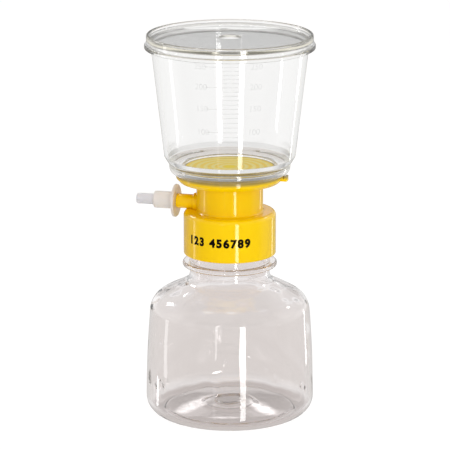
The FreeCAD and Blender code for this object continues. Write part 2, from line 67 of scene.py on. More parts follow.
class Slot(Enum):
    """The record's material slots, which each clear part carries as a field."""

    BOTTLE = "bottle_polystyrene"
    COLLAR = "collar_polymer"
    FUNNEL = "funnel_polystyrene"
    LID = "lid_polystyrene"


# --- Small tools ---


def linear(hex_colour: str) -> tuple[float, float, float, float]:
    """Turn an sRGB hex colour into linear RGBA.

    Args:
        hex_colour: six hex digits with a leading #.

    Returns:
        Linear red, green and blue, and an alpha of 1.
    """
    channels = [int(hex_colour[i:i + 2], 16) / 255 for i in (1, 3, 5)]
    red, green, blue = (c / 12.92 if c <= 0.04045 else ((c + 0.055) / 1.055) ** 2.4 for c in channels)
    return red, green, blue, 1.0


def add_node(tree: bpy.types.NodeTree, kind: str, inputs: Inputs = (), **settings: Any) -> bpy.types.Node:
    """Add a node with its settings, values and links.

    Args:
        tree: the shader or geometry tree.
        kind: the node's type, where a shader node's goes without ShaderNode.
        inputs: values by socket name, or in order for the sockets in use. A hex colour is made linear, an
            output is linked, and a node stands for its first output in use.
        settings: the node's own properties.

    Returns:
        The new node.
    """
    node = tree.nodes.new(kind if "Node" in kind else "ShaderNode" + kind)
    for name, value in settings.items():
        setattr(node, name, value)
    if not isinstance(inputs, dict):
        inputs = dict(zip((i for i, socket in enumerate(node.inputs) if socket.enabled), inputs))
    for key, value in inputs.items():
        if isinstance(value, bpy.types.Node):
            value = next(socket for socket in value.outputs if socket.enabled)
        if isinstance(value, bpy.types.NodeSocket):
            tree.links.new(value, node.inputs[key])
        else:
            is_colour = isinstance(value, str) and value.startswith("#")
            node.inputs[key].default_value = linear(value) if is_colour else value
    return node


def new_material(name: str) -> tuple[bpy.types.Material, Adder]:
    """Make an empty node material.

    Args:
        name: the material's name.

    Returns:
        The material and what adds a node to it.
    """
    material = bpy.data.materials.new(name)
    material.use_nodes = True
    material.node_tree.nodes.clear()
    return material, partial(add_node, material.node_tree)


def set_out(name: str, data: bpy.types.ID) -> bpy.types.Object:
    """Make an object of a mesh, lamp or camera and put it in the scene."""
    thing = bpy.data.objects.new(name, data)
    bpy.context.scene.collection.objects.link(thing)
    return thing


def sheet(name: str, corners: Sequence[Sequence[float]]) -> bpy.types.Object:
    """Make an object of one flat face, whose corners go round it anticlockwise."""
    mesh = bpy.data.meshes.new(name)
    mesh.from_pydata(corners, [], [range(len(corners))])
    return set_out(name, mesh)


def dress(piece: bpy.types.Object, material: bpy.types.Material) -> None:
    """Give every face of a piece one material."""
    if not piece.material_slots:
        piece.data.materials.append(material)
    for slot in piece.material_slots:
        slot.material = material


# --- Finishes ---


@dataclass(frozen=True)
class Finish:
    """One finish. Lengths of patterns are in millimetres.

    Attributes:
        name: the material's name, from what it is and how its surface was made.
    """

    name: str

    def material(self) -> bpy.types.Material:
        """Build the node material."""
        material, add = new_material(self.name)
        add("OutputMaterial", self.output(add))
        return material

    def output(self, add: Adder) -> Inputs:
        """Add the finish's nodes and give what the material's output takes."""
        raise NotImplementedError


@dataclass(frozen=True)
class ClearStyrene(Finish):
    """Crystal polystyrene: colourless and glossy, with a high refractive index for a plastic.

    Moulded against polished steel it is almost flat, and blown it waves where the wall thins. Lamps shine
    through it, since a clear wall throws next to no shadow.

    Attributes:
        tint: colour that each surface lets through.
        depth_tint: colour that long ways through the plastic lean to, which warms beads, rims and rings.
        depth_density: how fast they lean to it, per metre.
        shade: colour of the weak shadow that one wall throws.
        roughness: of the polished skin.
        wave_size: from crest to crest of the skin's waves.
        wave_height: of those waves.
    """

    tint: str = "#FEFEFE"
    depth_tint: str = "#D2C68C"
    depth_density: float = 6.0
    shade: str = "#FBFAFA"
    roughness: float = 0.0
    wave_size: float = 18.0
    wave_height: float = 0.02
    ior: float = 1.59

    def output(self, add: Adder) -> Inputs:
        """Add a refracting skin over a tinted depth, which lamps and soft light pass straight through."""
        waves = add("TexNoise", {"Vector": add("TexCoord").outputs["Object"],
                                 "Scale": 1 / (self.wave_size * MM), "Detail": 1.0})
        bump = add("Bump", {"Height": waves, "Strength": 1.0, "Distance": self.wave_height * MM})
        skin = add("BsdfPrincipled", {"Base Color": self.tint, "Roughness": self.roughness, "IOR": self.ior,
                                      "Transmission Weight": 1.0, "Normal": bump})
        lamp_light = add("BsdfTransparent", {"Color": self.shade})
        path = add("LightPath")
        for_soft_light = add("MixShader", [path.outputs["Is Diffuse Ray"], skin, lamp_light])
        mixed = add("MixShader", [path.outputs["Is Shadow Ray"], for_soft_light, lamp_light])
        depth = add("VolumeAbsorption", {"Color": self.depth_tint, "Density": self.depth_density})
        return {"Surface": mixed, "Volume": depth}


@dataclass(frozen=True)
class MouldedAbs(Finish):
    """Injection-moulded ABS: an even, saturated yellow under a glossy skin with a faint orange peel.

    Under the funnel's clear base ring the yellow is painted olive: painted shade for the light that the ring
    holds back.
    """

    name: str = "moulded_yellow_abs"
    colour: str = "#FFD600"
    deep: str = "#FED100"
    # Painted shade: the olive where the clear base ring covers the yellow, and the heights and radius where
    # it lies.
    welded: str = "#A08C4C"
    weld_low: float = 133.8
    weld_high: float = 136.0
    weld_inner: float = 25.4
    weld_blend: float = 0.3
    roughness: float = 0.08
    specular: float = 0.45
    ior: float = 1.53
    mottle_size: float = 9.0
    peel_size: float = 0.9
    peel_height: float = 0.004

    def output(self, add: Adder) -> Inputs:
        """Add the pigment, the painted olive shade under the base ring and the peel."""
        place = add("TexCoord").outputs["Object"]
        mottle = add("TexNoise", {"Vector": place, "Scale": 1 / (self.mottle_size * MM), "Detail": 2.0})
        pigment = add("Mix", [mottle, self.deep, self.colour], **COLOURS)
        axes = add("SeparateXYZ", [place])
        flat = add("CombineXYZ", {"X": axes.outputs["X"], "Y": axes.outputs["Y"]})
        radius = add("VectorMath", [flat], operation="LENGTH")
        # Painted shade: olive above a height and outside a radius, under the clear base ring.
        high = add("MapRange", [axes.outputs["Z"], self.weld_low * MM, self.weld_high * MM], **SMOOTH)
        outer = add("MapRange", [radius, self.weld_inner * MM, (self.weld_inner + self.weld_blend) * MM])
        ring_shaded = add("Math", [high, outer], operation="MULTIPLY")
        coloured = add("Mix", [ring_shaded, pigment, self.welded], **COLOURS)
        peel = add("TexNoise", {"Vector": place, "Scale": 1 / (self.peel_size * MM), "Detail": 1.0})
        bump = add("Bump", {"Height": peel, "Strength": 1.0, "Distance": self.peel_height * MM})
        return {"Surface": add("BsdfPrincipled", {
            "Base Color": coloured, "Roughness": self.roughness, "IOR": self.ior,
            "Specular IOR Level": self.specular, "Normal": bump})}


@dataclass(frozen=True)
class NaturalPolypropylene(Finish):
    """Unpigmented moulded polypropylene: milky and waxy, letting some light in, so thin parts look cooler.

    The thick barrel near the flange is warm, and the thin tip is cool and greyer. The real grain would be
    too fine to show, so it is drawn coarser.
    """

    name: str = "moulded_natural_polypropylene"
    thick: str = "#FFF8F2"
    thin: str = "#EEEFF5"
    tip_x: float = -43.0
    blend: float = 1.0
    roughness: float = 0.3
    clearness: float = 0.22
    milkiness: float = 0.35
    milky_depth: float = 1.5
    milky_reach: tuple[float, float, float] = (1.0, 0.9, 0.8)
    ior: float = 1.49
    grain_size: float = 1.6
    grain_height: float = 0.01

    def output(self, add: Adder) -> Inputs:
        """Add a milky skin that cools towards the tip."""
        place = add("TexCoord").outputs["Object"]
        axes = add("SeparateXYZ", [place])
        along = add("MapRange", [axes.outputs["X"], (self.tip_x - self.blend) * MM,
                                 (self.tip_x + self.blend) * MM])
        colour = add("Mix", [along, self.thin, self.thick], **COLOURS)
        grain = add("TexNoise", {"Vector": place, "Scale": 1 / (self.grain_size * MM), "Detail": 3.0})
        bump = add("Bump", {"Height": grain, "Strength": 1.0, "Distance": self.grain_height * MM})
        return {"Surface": add("BsdfPrincipled", {
            "Base Color": colour, "Roughness": self.roughness, "IOR": self.ior,
            "Transmission Weight": self.clearness, "Subsurface Weight": self.milkiness,
            "Subsurface Radius": self.milky_reach, "Subsurface Scale": self.milky_depth * MM,
            "Normal": bump})}


@dataclass(frozen=True)
class MilkySkin(Finish):
    """Moulded relief on clear plastic: next to clear, with a faint grey that makes the marks readable."""

    colour: str
    cover: float
    roughness: float = 0.5
    specular: float = 0.05
    mottle_size: float = 3.0
    mottle: float = 0.1
    mottle_span: Span = (0.3, 0.7)

    def output(self, add: Adder) -> Inputs:
        """Add a thin grey that lets most of the light straight through."""
        mottle = add("TexNoise", {"Vector": add("TexCoord").outputs["Object"],
                                  "Scale": 1 / (self.mottle_size * MM), "Detail": 3.0})
        cover = add("MapRange", [mottle, *self.mottle_span, self.cover - self.mottle,
                                 self.cover + self.mottle])
        return {"Surface": add("BsdfPrincipled", {
            "Base Color": self.colour, "Roughness": self.roughness,
            "Specular IOR Level": self.specular, "Alpha": cover})}


@dataclass(frozen=True)
class WettedMembrane(Finish):
    """A membrane wetted on its ribbed support: yellow shows through, paler on the ribs, deep at the drain,
    with painted shade at its edge.
    """

    name: str = "wetted_membrane"
    rib: str = "#FFF49A"
    gap: str = "#FFE45C"
    drain: str = "#FFEA28"
    # Painted shade: the edge is olive where the funnel's clear rim covers the membrane.
    edge: str = "#A08A50"
    rib_pitch: float = 4.1
    rib_span: Span = (-0.6, 0.6)
    drain_radius: float = 4.0
    drain_blend: float = 1.5
    edge_radius: float = 24.0
    edge_blend: float = 0.5
    cover: float = 0.85
    roughness: float = 0.5
    specular: float = 0.05

    def output(self, add: Adder) -> Inputs:
        """Add the rings of ribs, the drain in the middle and the painted olive shade at the edge, under the
        funnel's clear rim.
        """
        place = add("TexCoord").outputs["Object"]
        flat = add("VectorMath", [place, (1.0, 1.0, 0.0)], operation="MULTIPLY")
        radius = add("VectorMath", [flat], operation="LENGTH")
        turns = add("Math", [radius, math.tau / (self.rib_pitch * MM)], operation="MULTIPLY")
        ribs = add("MapRange", [add("Math", [turns], operation="SINE"), *self.rib_span])
        ribbed = add("Mix", [ribs, self.gap, self.rib], **COLOURS)
        inwards = add("MapRange", [radius, (self.drain_radius - self.drain_blend) * MM,
                                   self.drain_radius * MM])
        drained = add("Mix", [inwards, self.drain, ribbed], **COLOURS)
        # Painted shade towards the edge, under the funnel's clear rim.
        under_rim_shade = add("MapRange", [radius, self.edge_radius * MM, (self.edge_radius + self.edge_blend) * MM])
        colour = add("Mix", [under_rim_shade, drained, self.edge], **COLOURS)
        return {"Surface": add("BsdfPrincipled", {
            "Base Color": colour, "Roughness": self.roughness,
            "Specular IOR Level": self.specular, "Alpha": self.cover})}


@dataclass(frozen=True)
class SoftWhite(Finish):
    """A white, slightly uneven surface: fibre wadding or silicone rubber.

    Real fibres would be too fine to show, so the wadding's grain is drawn coarser.
    """

    colour: str
    shade: str
    roughness: float
    grain_size: float
    grain_height: float

    def output(self, add: Adder) -> Inputs:
        """Add a grain that both shades the white and stands proud."""
        grain = add("TexNoise", {"Vector": add("TexCoord").outputs["Object"],
                                 "Scale": 1 / (self.grain_size * MM), "Detail": 4.0})
        colour = add("Mix", [grain, self.shade, self.colour], **COLOURS)
        bump = add("Bump", {"Height": grain, "Strength": 1.0, "Distance": self.grain_height * MM})
        return {"Surface": add("BsdfPrincipled", {
            "Base Color": colour, "Roughness": self.roughness, "Normal": bump})}


@dataclass(frozen=True)
class PrintInk(Finish):
    """Pad-printing ink: a thin, dense black layer with a soft sheen and slightly uneven cover.

    The real unevenness would be too fine to show, so it is drawn coarser.
    """

    name: str = "black_pad_print"
    colour: str = "#040202"
    thin: str = "#100A08"
    roughness: float = 0.5
    specular: float = 0.08
    mottle_size: float = 0.8

    def output(self, add: Adder) -> Inputs:
        """Add a black that is a little thinner in places."""
        mottle = add("TexNoise", {"Vector": add("TexCoord").outputs["Object"],
                                  "Scale": 1 / (self.mottle_size * MM), "Detail": 2.0})
        colour = add("Mix", [mottle, self.colour, self.thin], **COLOURS)
        return {"Surface": add("BsdfPrincipled", {
            "Base Color": colour, "Roughness": self.roughness, "Specular IOR Level": self.specular})}


# --- Studio ---


@dataclass(frozen=True)
class Lamp:
    """One flat white lamp that faces the object's axis.

    Attributes:
        name: the lamp's name.
        azimuth: degrees round +Z from -Y towards +X.
        distance: from the axis, in metres.
        width: in metres.
        low: height of its lower edge, in metres.
        high: height of its upper edge, in metres.
        radiance: of its face, where 1 shows as white.
        in_gloss: whether it shows in reflections.
        in_soft: whether it lights matt surfaces.
        inside: whether it shows through clear plastic and in the reflections inside it.
        aim: degrees by which it tips up from level.
    """

    name: str
    azimuth: float
    distance: float
    width: float
    low: float
    high: float
    radiance: float
    in_gloss: bool = True
    in_soft: bool = True
    inside: bool = True
    aim: float = 0.0

    def build(self) -> None:
        """Make the lamp and turn it to the axis."""
        turn = math.radians(self.azimuth)
        height = self.high - self.low
        data = bpy.data.lights.new(self.name, "AREA")
        data.shape = "RECTANGLE"
        data.size = self.width
        data.size_y = height
        data.energy = self.radiance * math.pi * self.width * height
        lamp = set_out(self.name, data)
        lamp.location = (self.distance * math.sin(turn), -self.distance * math.cos(turn),
                         (self.low + self.high) / 2)
        level_way = Vector((-math.sin(turn), math.cos(turn), 0.0))
        way = Matrix.Rotation(math.radians(self.aim), 3, level_way.cross(Vector((0, 0, 1)))) @ level_way
        lamp.rotation_euler = way.to_track_quat("-Z", "Y").to_euler()
        lamp.visible_camera = False
        lamp.visible_transmission = self.in_gloss and self.inside
        lamp.visible_glossy = self.in_gloss
        lamp.visible_diffuse = self.in_soft


@dataclass(frozen=True)
class Caustic:
    """A patch of light that the bottle gathers on the table under it. Metres, seen from the camera's side.

    Attributes:
        right: of its middle from the axis.
        away: of its middle from the axis, away from the camera.
        turn: degrees from the line of view to its long way, clockwise from above.
        half_length: of the patch.
        half_width: of the patch.
        strength: how much it adds in its middle.
    """

    right: float
    away: float
    turn: float
    half_length: float
    half_width: float
    strength: float


@dataclass
class Studio:
    """Camera, lamps, floor, card and world of a plain white product shot. Metres and degrees.

    A span is where something starts and ends. For the world's spans that is a share of the way's length
    along one direction, such as up, and for the caustics' it is the pattern's value.

    Attributes:
        table_stops: distance from the axis, and colour there, of the table that shows through plastic:
            painted shade, darkest under the bottle, with a painted bright ring just outside its foot, and
            lightening to white far out.
        caustics: patches of light on that table.
        caustic_least: share of a patch left between the streaks that break it up.
        caustic_core: share of a patch's size at which it is brightest.
        matt_value: of the floor as it throws soft light back.
        shadow_share: matt part of what the camera sees of the floor, which takes the shadow.
        glow_value: glowing part of it.
        white_below: up to here plastic shows the white backdrop, and from room_above the room.
        front_value: of the room in front, and side_value of it at the sides and behind.
        dark_value: of a patch behind, which clear edges bend into view.
        below_share: share of the room's value that is left under the horizon.
        seen_value: of the backdrop through plastic.
    """

    azimuth: float = 15.0
    elevation: float = 14.45
    distance: float = 1.537
    lens: float = 223.6
    sensor: float = 36.0
    clip: Span = (0.05, 20.0)
    aim_height: float = 0.1062
    aim_side: float = -0.00264
    floor_half: float = 4.0
    table_reach: float = 0.55
    # Painted shade of the table seen through plastic: dark under the bottle, a painted bright ring just
    # outside its foot, grey further out.
    table_stops: Sequence[tuple[float, str]] = (
        (0.0, "#CDC6C3"), (0.045, "#CFC8C5"), (0.051, "#F6F4F3"), (0.066, "#E6E2DF"), (0.20, "#E6E2DF"),
        (0.36, "#ECE8E6"))
    caustics: Sequence[Caustic] = (
        Caustic(-0.0205, 0.004, 28.0, 0.025, 0.0072, 1.25),
        Caustic(0.0180, 0.000, -24.0, 0.022, 0.0066, 1.50),
        Caustic(-0.003, -0.019, 88.0, 0.013, 0.0040, 0.80),
    )
    caustic_grain: float = 0.006
    caustic_span: Span = (0.3, 0.6)
    caustic_least: float = 0.35
    caustic_core: float = 0.2
    matt_value: float = 0.9
    shadow_share: float = 0.3
    glow_value: float = 0.82
    card_distance: float = 0.60
    card_half: float = 0.5
    card_low: float = 0.24
    card_top: float = 0.317
    card_value: float = 0.92
    white_below: float = 0.10
    room_above: float = 0.16
    dark_elevation: float = 17.0
    dark_inner: float = 14.5
    dark_outer: float = 24.0
    dark_value: float = 0.28
    front_value: float = 0.40
    side_value: float = 1.1
    side_span: Span = (0.75, 0.95)
    behind_span: Span = (-0.3, 0.1)
    top_value: float = 0.32
    top_span: Span = (0.6, 0.9)
    soft_right: str = "#DCDCDC"
    soft_left: str = "#9C8366"
    soft_span: Span = (-0.9, 0.2)
    below_share: float = 0.5
    below_span: Span = (-0.12, -0.02)
    seen_value: float = 0.88
    bounces: int = 128
    lamps: Sequence[Lamp] = (
        Lamp("key_strip", 32.8, 1.2, 0.16, -0.85, 0.25, 9.0),
        Lamp("soft_strip_low", -3.5, 1.2, 0.06, -0.16, 0.30, 3.0),
        Lamp("soft_strip_high", -5.6, 1.2, 0.08, -0.60, -0.28, 0.9),
        Lamp("right_strip", 98.8, 3.0, 0.26, -1.05, -0.92, 8.0),
        Lamp("left_strip", -84.0, 1.2, 0.14, -0.30, 0.04, 2.2),
        Lamp("low_left", -102.0, 1.2, 0.12, -0.36, -0.31, 4.0),
        Lamp("far_right_strip", 145.0, 0.6, 0.035, -0.13, 0.06, 4.0),
        Lamp("high_left", -122.0, 1.2, 0.36, 0.75, 1.15, 7.0, in_soft=False, inside=False),
        Lamp("high_right", 138.0, 1.2, 0.25, 0.85, 1.10, 6.0, in_soft=False, inside=False),
        Lamp("ceiling_left", -146.0, 0.58, 0.12, 1.0, 1.9, 6.0, in_soft=False, inside=False, aim=-65.0),
        Lamp("front_fill", 12.0, 1.8, 1.6, 0.05, 1.0, 1.75, in_gloss=False, aim=-12.0),
        Lamp("overhead", 0.0, 0.4, 1.4, 1.0, 2.2, 1.25, in_gloss=False, aim=-80.0),
    )

    @property
    def right(self) -> Vector:
        """Level way to the camera's right."""
        return Vector((math.cos(math.radians(self.azimuth)), math.sin(math.radians(self.azimuth)), 0.0))

    def away(self, rise: float) -> Vector:
        """Way that the camera faces, turned to rise by some degrees."""
        rise = math.radians(rise)
        return Vector((-self.right.y * math.cos(rise), self.right.x * math.cos(rise), math.sin(rise)))

    def camera(self) -> None:
        """Place the camera on the line of view, aimed a little beside the axis."""
        back = -self.away(-self.elevation)
        data = bpy.data.cameras.new("camera")
        data.lens = self.lens
        data.sensor_width = self.sensor
        data.clip_start, data.clip_end = self.clip
        camera = set_out("camera", data)
        place = Vector((0, 0, self.aim_height)) + self.aim_side * self.right + self.distance * back
        turned = Matrix((self.right, back.cross(self.right), back)).transposed()
        camera.matrix_world = Matrix.Translation(place) @ turned.to_4x4()
        bpy.context.scene.camera = camera

    def table(self, add: Adder) -> bpy.types.Node:
        """Add the table's painted shade, darkest under the bottle, with the painted light that the bottle
        gathers on it.
        """
        place = add("TexCoord").outputs["Object"]
        radius = add("VectorMath", [place], operation="LENGTH")
        lit = add("ValToRGB", [add("MapRange", [radius, 0.0, self.table_reach])])
        stops = lit.color_ramp.elements
        stops[0].color = linear(self.table_stops[0][1])
        stops[1].color = linear(WHITE)
        for reach, colour in self.table_stops[1:]:
            stops.new(reach / self.table_reach).color = linear(colour)
        grain = add("TexNoise", {"Vector": place, "Scale": 1 / self.caustic_grain, "Detail": 2.0})
        streaks = add("MapRange", [grain, *self.caustic_span, self.caustic_least])
        turn = math.radians(self.azimuth)
        for patch in self.caustics:
            local = add("Mapping", {
                "Vector": place, "Location": patch.right * self.right + patch.away * self.away(0.0),
                "Rotation": (0.0, 0.0, turn - math.radians(patch.turn)),
                "Scale": (patch.half_width, patch.half_length, 1.0)}, vector_type="TEXTURE")
            off = add("VectorMath", [local], operation="LENGTH")
            glow = add("MapRange", [off, 1.0, self.caustic_core, 0.0, patch.strength], **SMOOTH)
            broken = add("Math", [glow, streaks], operation="MULTIPLY")
            lit = add("Mix", [1.0, lit, broken], **COLOURS, blend_type="ADD")
        return lit

    def floor(self) -> None:
        """Make the floor: white with a soft shadow to the camera, and a table of painted shade and painted
        light through plastic.
        """
        half = self.floor_half
        floor = sheet("floor", [(-half, -half, 0), (half, -half, 0), (half, half, 0), (-half, half, 0)])
        material, add = new_material("white_sweep")
        matt, faint = (add("BsdfDiffuse", {"Color": (value, value, value, 1.0)})
                       for value in (self.matt_value, self.shadow_share))
        shown = add("AddShader", [add("Emission", {"Color": WHITE, "Strength": self.glow_value}), faint])
        # Painted shade and painted caustics of the table, seen only through plastic.
        painted_table_view = add("Emission", {"Color": self.table(add), "Strength": 1.0})
        path = add("LightPath")
        direct = add("MixShader", [path.outputs["Is Camera Ray"], matt, shown])
        surface = add("MixShader", [path.outputs["Is Transmission Ray"], direct, painted_table_view])
        add("OutputMaterial", {"Surface": surface})
        dress(floor, material)
        floor.visible_glossy = False

    def card(self) -> None:
        """Stand a pale card behind the object, which only shows in reflections, such as the lid's."""
        back, side = self.away(0.0) * self.card_distance, self.right * self.card_half
        low, high = Vector((0, 0, self.card_low)), Vector((0, 0, self.card_top))
        card = sheet("card", [back - side + low, back + side + low, back + side + high, back - side + high])
        material, add = new_material("pale_card")
        add("OutputMaterial", {"Surface": add("Emission", {"Color": WHITE, "Strength": self.card_value})})
        dress(card, material)
        card.visible_camera = False
        card.visible_diffuse = False
        card.visible_shadow = False

    def world(self) -> None:
        """Set a world that is white to look at, soft to matt surfaces and a dim room to glossy ones."""
        world = bpy.data.worlds.new("white_room")
        bpy.context.scene.world = world
        world.use_nodes = True
        world.node_tree.nodes.clear()
        add = partial(add_node, world.node_tree)
        path = add("LightPath")
        for_camera, for_gloss, for_through = (path.outputs["Is %s Ray" % kind]
                                              for kind in ("Camera", "Glossy", "Transmission"))
        way = add("TexCoord").outputs["Generated"]
        up = add("SeparateXYZ", [way]).outputs["Z"]
        sideways, facing, nearness = (add("VectorMath", [way, aim], operation="DOT_PRODUCT")
                                      for aim in (self.right, self.away(0.0), self.away(self.dark_elevation)))

        at_sides = add("MapRange", [add("Math", [sideways], operation="ABSOLUTE"), *self.side_span], **SMOOTH)
        through = add("MapRange", [at_sides, 0.0, 1.0, self.front_value, self.side_value])
        behind = add("MapRange", [facing, *self.behind_span, self.front_value, self.side_value], **SMOOTH)
        lower = add("MapRange", [up, *self.below_span, self.below_share, 1.0])
        mirrored = add("Math", [behind, lower], operation="MULTIPLY")
        sides = add("Mix", [for_through, mirrored, through])
        dark_span = (math.cos(math.radians(edge)) for edge in (self.dark_outer, self.dark_inner))
        beside = add("Mix", [add("MapRange", [nearness, *dark_span], **SMOOTH), sides, self.dark_value])
        room = add("Mix", [add("MapRange", [up, *self.top_span], **SMOOTH), beside, self.top_value])
        dim = add("Background", {"Color": WHITE, "Strength": room})

        to_right = add("MapRange", [sideways, *self.soft_span], **SMOOTH)
        soft_colour = add("Mix", [to_right, self.soft_left, self.soft_right], **COLOURS)
        soft = add("Background", {"Color": soft_colour, "Strength": 1.0})
        gloss = add("Math", [for_gloss, for_through], operation="MAXIMUM")
        dull = add("MixShader", [gloss, soft, dim])

        seen_level = add("MapRange", [for_through, 0.0, 1.0, 1.0, self.seen_value])
        seen = add("Background", {"Color": WHITE, "Strength": seen_level})
        level = add("MapRange", [up, self.white_below, self.room_above, 1.0, 0.0])
        level_view = add("Math", [level, for_through], operation="MULTIPLY")
        open_view = add("Math", [for_camera, level_view], operation="MAXIMUM")
        add("OutputWorld", {"Surface": add("MixShader", [open_view, dull, seen])})

    def build(self) -> None:
        """Set up the whole studio."""
        self.camera()
        for lamp in self.lamps:
            lamp.build()
        self.floor()
        self.card()
        self.world()
        scene = bpy.context.scene
        scene.view_settings.view_transform = "Standard"
        for kind in ("max", "glossy", "transmission", "transparent_max"):
            setattr(scene.cycles, kind + "_bounces", self.bounces)


# --- Shapes. Outlines and reliefs in millimetres ---

Corner = tuple[float, float, float]
Relief = Callable[[Vector], float]
StepRule = Callable[[float, float], float]
ROUND_STEP = math.radians(11)
SLOPE_REACH = 0.05
ON_AXIS = 1e-6


def eased(share: float) -> float:
    """Ease a share between 0 and 1, level at both ends, and hold it there beyond them."""
    share = min(1.0, max(0.0, share))
    return share * share * (3 - 2 * share)


def rounded_outline(corners: Sequence[Corner], closed: bool, step_at: StepRule) -> list[tuple[float, ...]]:
    """Round the corners of an outline and cut its long runs.

    Args:
        corners: (radius, height, rounding), going round the solid with it on the left.
        closed: whether the last corner joins the first; otherwise both ends lie on the axis.
        step_at: longest piece of a straight run, from the run's middle radius and height.

    Returns:
        (radius, height, normal's radial part, normal's height part) of each point.
    """
    count = len(corners)
    points: list[tuple[Vector, Vector]] = []
    for i, (radius, height, rounding) in enumerate(corners):
        here = Vector((radius, height))
        before, after = Vector(corners[i - 1][:2]), Vector(corners[(i + 1) % count][:2])
        way_in, way_out = (here - before).normalized(), (after - here).normalized()
        normal_in, normal_out = Vector((way_in.y, -way_in.x)), Vector((way_out.y, -way_out.x))
        if not closed and i in (0, count - 1):
            points.append((here, normal_out if i == 0 else normal_in))
            continue
        turn = math.atan2(way_in.x * way_out.y - way_in.y * way_out.x, way_in.dot(way_out))
        reach = rounding * math.tan(abs(turn) / 2)
        side = 1 if turn > 0 else -1
        middle = here - way_in * reach - side * rounding * normal_in
        steps = max(1, math.ceil(abs(turn) / ROUND_STEP), math.ceil(rounding * abs(turn) / step_at(*here)))
        for step in range(steps + 1):
            normal = normal_in.copy()
            normal.rotate(Matrix.Rotation(turn * step / steps, 2))
            points.append((middle + side * rounding * normal, normal))
    outline: list[tuple[float, ...]] = []
    for i, (point, normal) in enumerate(points):
        outline.append((*point, *normal))
        if i == len(points) - 1 and not closed:
            break
        onward, onward_normal = points[(i + 1) % len(points)]
        cuts = math.ceil((onward - point).length / step_at(*point.lerp(onward, 0.5)))
        for cut in range(1, cuts):
            outline.append((*point.lerp(onward, cut / cuts), *normal.lerp(onward_normal, cut / cuts)))
    return outline


def turned_shell(name: str, corners: Sequence[Corner], closed: bool, segments: int, step_at: StepRule,
                 relief: Relief | None) -> bpy.types.Object:
    """Turn a closed outline about +Z into one smooth shell.

    Args:
        name: the piece's name.
        corners: as for rounded_outline.
        closed: as for rounded_outline.
        segments: round the axis.
        step_at: as for rounded_outline.
        relief: height by which a point stands proud, if any does.

    Returns:
        The object, with its normals taken from the outline and the relief.
    """
    places: list[Vector] = []
    normals: list[Vector] = []
    rings: list[list[int]] = []
    for radius, height, out, up in rounded_outline(corners, closed, step_at):
        ring = []
        for j in range(segments if radius > ON_AXIS else 1):
            angle = math.tau * j / segments
            outward = Vector((math.cos(angle), math.sin(angle), 0))
            onward = Vector((-outward.y, outward.x, 0))
            place = outward * radius + Vector((0, 0, height))
            normal = (outward * out + Vector((0, 0, up))).normalized()
            if relief:
                slopes = Vector()
                for way in (normal.cross(onward), onward):
                    rise = relief(place + way * SLOPE_REACH) - relief(place - way * SLOPE_REACH)
                    slopes += way * rise / (2 * SLOPE_REACH)
                place = place + normal * relief(place)
                normal = (normal - slopes).normalized()
            ring.append(len(places))
            places.append(place * MM)
            normals.append(normal)
        rings.append(ring)
    faces = []
    for low, high in zip(rings, rings[1:] + rings[:1] if closed else rings[1:]):
        for j in range(segments):
            loop = [low[j % len(low)], low[(j + 1) % len(low)],
                    high[(j + 1) % len(high)], high[j % len(high)]]
            faces.append(list(dict.fromkeys(loop)))
    mesh = bpy.data.meshes.new(name)
    mesh.from_pydata(places, [], faces)
    mesh.shade_smooth()
    mesh.normals_split_custom_set_from_vertices(normals)
    return set_out(name, mesh)


def hand_over(piece: bpy.types.Object, body: Body, node: str | None = None) -> bpy.types.Object:
    """Make a piece ride on a body and hide the CAD node that it stands for."""
    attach(piece, body.value)
    if node:
        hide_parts(node)
    return piece


def grown_piece(name: str, tree: bpy.types.NodeTree, values: dict[str, Any]) -> bpy.types.Object:
    """Run a geometry tree with named inputs and keep what it makes as a plain mesh.

    Args:
        name: the piece's name.
        tree: a geometry tree that needs no geometry to start from.
        values: input name to value.

    Returns:
        The object, with no modifier left on it.
    """
    piece = set_out(name, bpy.data.meshes.new(name + "_seed"))
    modifier = piece.modifiers.new("rule", "NODES")
    modifier.node_group = tree
    for socket in tree.interface.items_tree:
        if socket.in_out == "INPUT":
            modifier[socket.identifier] = values[socket.name]
    grown = piece.evaluated_get(bpy.context.evaluated_depsgraph_get())
    mesh = bpy.data.meshes.new_from_object(grown)
    mesh.name = name
    piece.modifiers.remove(modifier)
    piece.data = mesh
    return piece


# --- The unit. Sizes in millimetres ---


@dataclass
class ClearPart:
    """A clear part whose shell is turned about +Z.

    Attributes:
        piece: the shell's name.
        body: that it rides on.
        slot: of its material; not used.
        node: CAD node that it stands for.
        closed: whether its outline closes off the axis.
        segments: round the axis.
        straight_step: longest piece of a straight run.
        fine: rounding of an edge that looks sharp.
        edge: rounding of a moulded edge.
        soft: rounding of a soft bend.
    """

    piece: str
    body: Body
    slot: Slot
    node: str
    closed: bool = True
    segments: int = 288
    straight_step: float = 4.0
    fine: float = 0.3
    edge: float = 0.6
    soft: float = 1.2
    finish: ClearStyrene = ClearStyrene("moulded_clear_polystyrene")
    relief: ClassVar[Relief | None] = None

    def corners(self) -> list[Corner]:
        """Outline of the part, going round the solid with it on the left."""
        raise NotImplementedError

    def step(self, radius: float, height: float) -> float:
        """Longest piece of a straight run whose middle lies at a radius and height."""
        return self.straight_step

    def build(self) -> list[bpy.types.Object]:
        """Turn the shell, dress it and hand it over in place of its CAD node."""
        shell = turned_shell(self.piece, self.corners(), self.closed, self.segments, self.step, self.relief)
        dress(shell, self.finish.material())
        return [hand_over(shell, self.body, self.node)]


